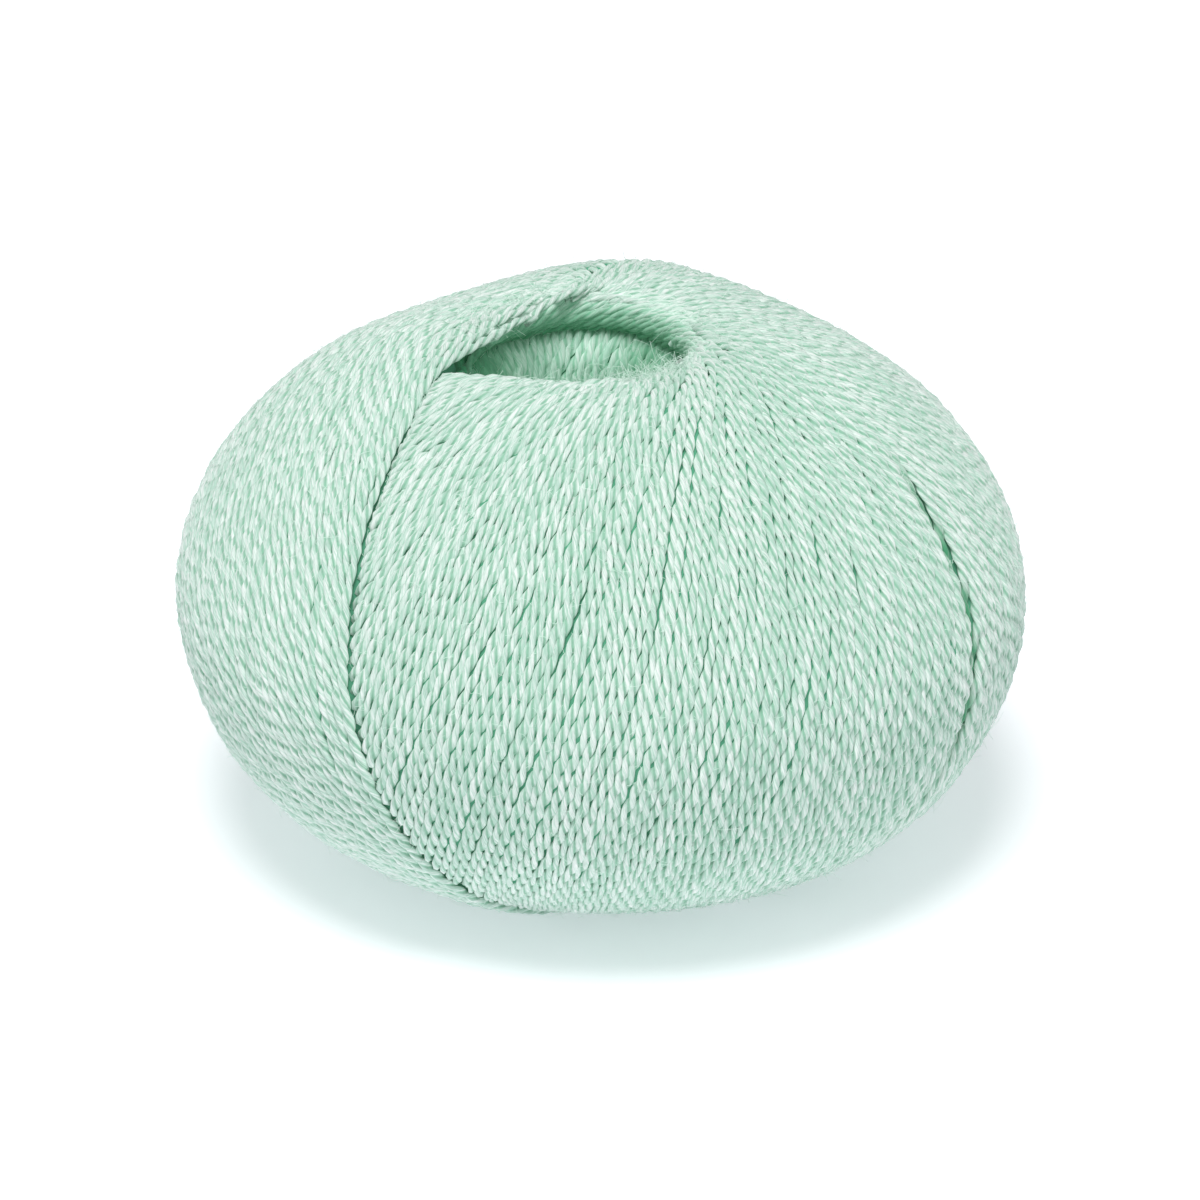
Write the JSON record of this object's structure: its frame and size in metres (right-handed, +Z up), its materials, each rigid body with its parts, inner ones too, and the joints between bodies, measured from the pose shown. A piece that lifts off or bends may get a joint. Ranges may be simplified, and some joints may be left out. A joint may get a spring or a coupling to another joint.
{
  "type": "ball of yarn",
  "caption": "Wound ball of fine plied yarn, flattened round form with a leaning open centre hole, resting on a small flat spot.",
  "frame": {"origin": "centre of the ball's box, at the flat spot it rests on", "axes": "+Z up along the winding axis and the centre hole, -Y towards the side with the rising groove"},
  "size_m": [0.1002, 0.0996, 0.0643],
  "materials": {
    "mint_wool": "matt, softly fuzzy two-ply wool"
  },
  "bodies": {
    "root": {"yarn_ball": "mint_wool"}
  },
  "joints": []
}
